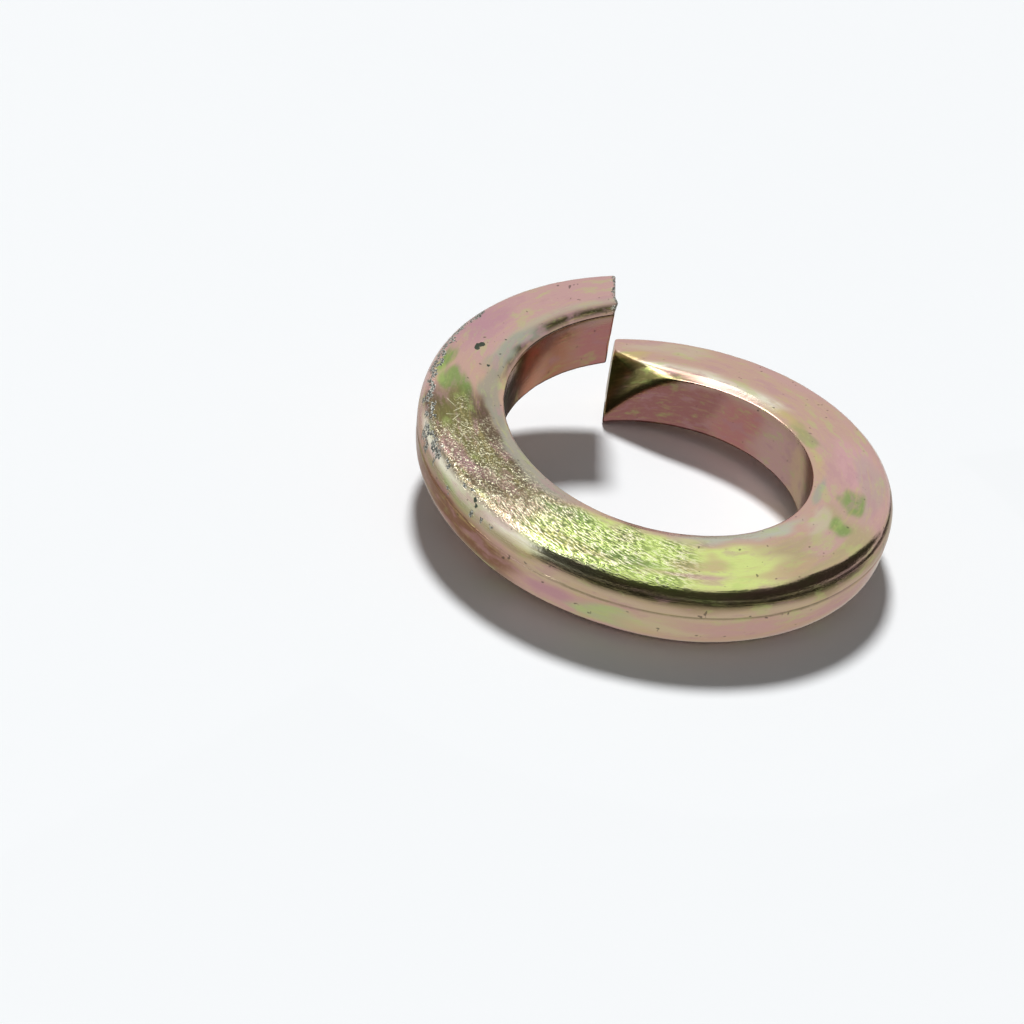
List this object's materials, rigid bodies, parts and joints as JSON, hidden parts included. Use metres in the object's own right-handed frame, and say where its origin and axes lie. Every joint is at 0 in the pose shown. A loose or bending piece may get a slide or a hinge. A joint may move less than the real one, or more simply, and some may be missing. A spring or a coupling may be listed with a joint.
{
  "type": "spring lock washer",
  "caption": "Split spring lock washer: a left-hand coil of near-square plated steel wire, cut on a slant so that its offset ends bite under a nut or bolt head.",
  "frame": {"origin": "on the bore axis, at the height of the coil's lowest point", "axes": "+Z along the bore, towards the high end; +Y from the axis through the middle of the gap between the ends"},
  "size_m": [0.0248, 0.0248, 0.0079],
  "materials": {
    "plated_steel": "yellow zinc plating with pink and green tints over rough forged steel, worn to grey along the rim and in a few pits"
  },
  "bodies": {
    "root": {"washer": "plated_steel"}
  },
  "joints": []
}
